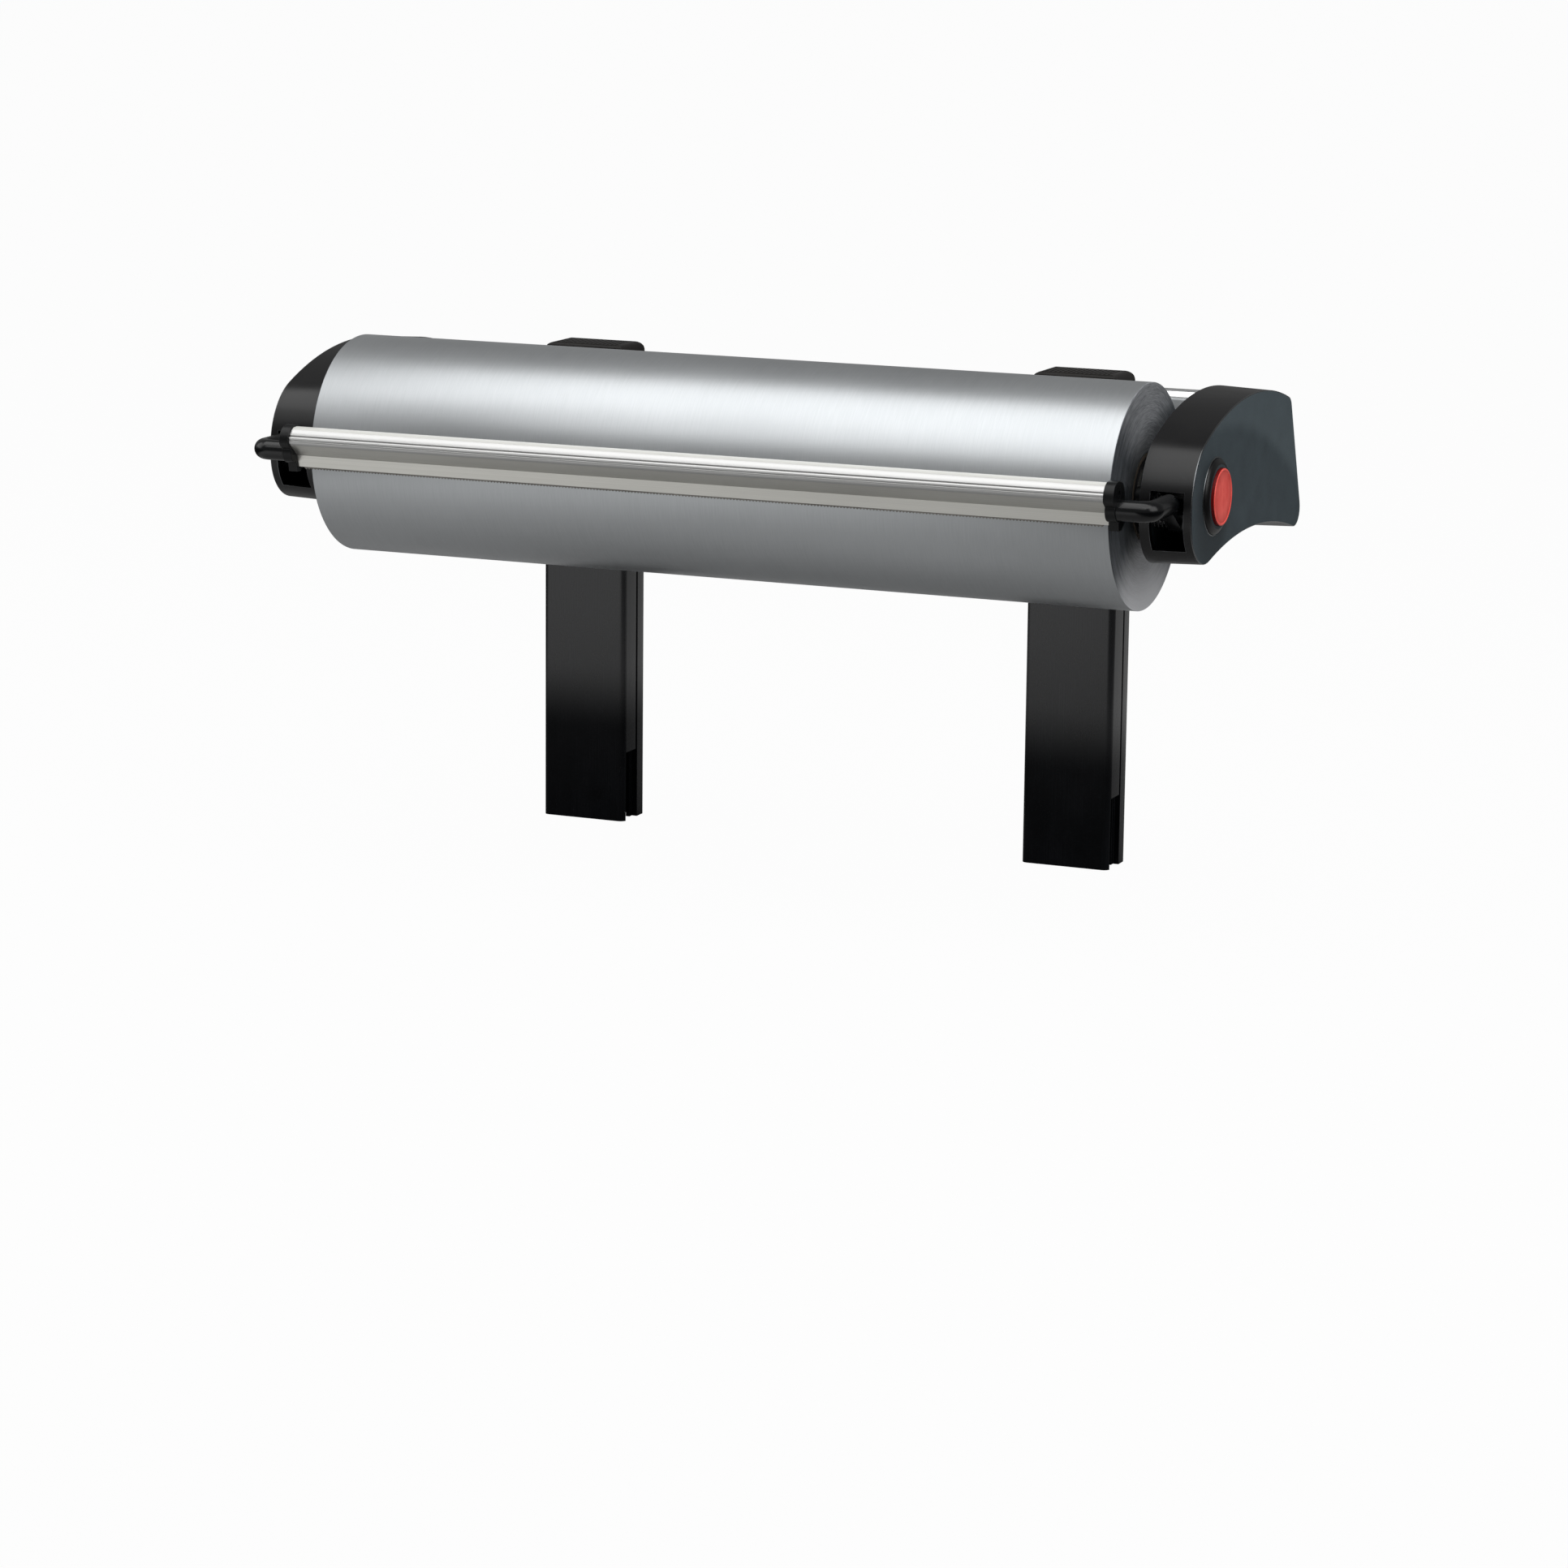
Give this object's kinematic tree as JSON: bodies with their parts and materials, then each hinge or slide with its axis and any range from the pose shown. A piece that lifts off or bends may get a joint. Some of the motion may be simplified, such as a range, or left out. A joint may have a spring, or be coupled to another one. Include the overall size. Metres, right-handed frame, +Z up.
{
  "type": "paper roll dispenser",
  "caption": "Add-on counter dispenser for one paper roll, with a sprung tear rail between two side arms, a button on each arm and posts that clamp a crossbar.",
  "frame": {"origin": "middle of the four lower post bolts, on the rear face of the posts", "axes": "+X along the roll to the right seen from the front, +Y to the back, +Z up"},
  "size_m": [0.591, 0.2506, 0.3134],
  "materials": {
    "post_black": "satin",
    "black_plastic": "matte",
    "bright_aluminium": "satin",
    "arm_black": "satin",
    "zinc_steel": "satin",
    "pale_nylon": "matte",
    "silver_paper": "satin",
    "core_board": "matte",
    "rail_anodised": "satin",
    "blade_steel": "satin",
    "lever_black": "satin",
    "red_plastic": "satin",
    "pad_rubber": "matte"
  },
  "bodies": {
    "root": {"left_post": "post_black", "right_post": "post_black", "left_post_back": "post_black", "right_post_back": "post_black", "left_post_cap": "black_plastic", "right_post_cap": "black_plastic", "crossbar": "bright_aluminium", "left_arm_shell": "arm_black", "right_arm_shell": "arm_black", "left_arm_plate": "arm_black", "right_arm_plate": "arm_black", "left_saddle": "black_plastic", "right_saddle": "black_plastic", "left_pivot_pin": "zinc_steel", "right_pivot_pin": "zinc_steel", "left_lever_spring": "zinc_steel", "right_lever_spring": "zinc_steel", "bar_end_screws": "zinc_steel", "arm_plate_screws": "zinc_steel", "saddle_screws": "zinc_steel", "post_clamp_screws": "zinc_steel", "left_button_spring": "zinc_steel", "right_button_spring": "zinc_steel"},
    "axle_bushes": {"left_axle_bush": "pale_nylon", "right_axle_bush": "pale_nylon"},
    "roll": {"paper_roll": "silver_paper", "roll_core": "core_board", "axle_tube": "zinc_steel", "left_core_plug": "black_plastic", "right_core_plug": "black_plastic", "left_axle_plug": "black_plastic", "right_axle_plug": "black_plastic"},
    "rail": {"tear_rail": "rail_anodised", "tear_blade": "blade_steel", "rail_end_screws": "zinc_steel", "left_rail_end": "black_plastic", "right_rail_end": "black_plastic", "left_lever": "lever_black", "right_lever": "lever_black"},
    "left_push": {"left_button": "red_plastic", "left_plunger": "zinc_steel", "left_stop_pad": "pad_rubber", "left_plunger_clip": "zinc_steel"},
    "right_push": {"right_button": "red_plastic", "right_plunger": "zinc_steel", "right_stop_pad": "pad_rubber", "right_plunger_clip": "zinc_steel"}
  },
  "joints": [
    {"name": "roll_lift", "type": "slide", "parent": "root", "child": "axle_bushes", "axis": [0, 0, 1], "range_m": [0, 0.12]},
    {"name": "roll_spin", "type": "hinge", "parent": "axle_bushes", "child": "roll", "pos_m": [0, -0.1555, 0.2265], "axis": [1, 0, 0], "continuous": true},
    {"name": "rail_swing", "type": "hinge", "parent": "root", "child": "rail", "pos_m": [0, -0.1825, 0.2185], "axis": [1, 0, 0], "range_deg": [0, 38], "stiffness_Nm_per_rad": 2, "springref_deg": -20.05},
    {"name": "left_button_press", "type": "slide", "parent": "root", "child": "left_push", "axis": [1, 0, 0], "range_m": [0, 0.004], "stiffness_N_per_m": 1000, "springref_m": -0.002, "deforming": ["left_button_spring"]},
    {"name": "right_button_press", "type": "slide", "parent": "root", "child": "right_push", "axis": [-1, 0, 0], "range_m": [0, 0.004], "stiffness_N_per_m": 1000, "springref_m": -0.002, "deforming": ["right_button_spring"]}
  ]
}
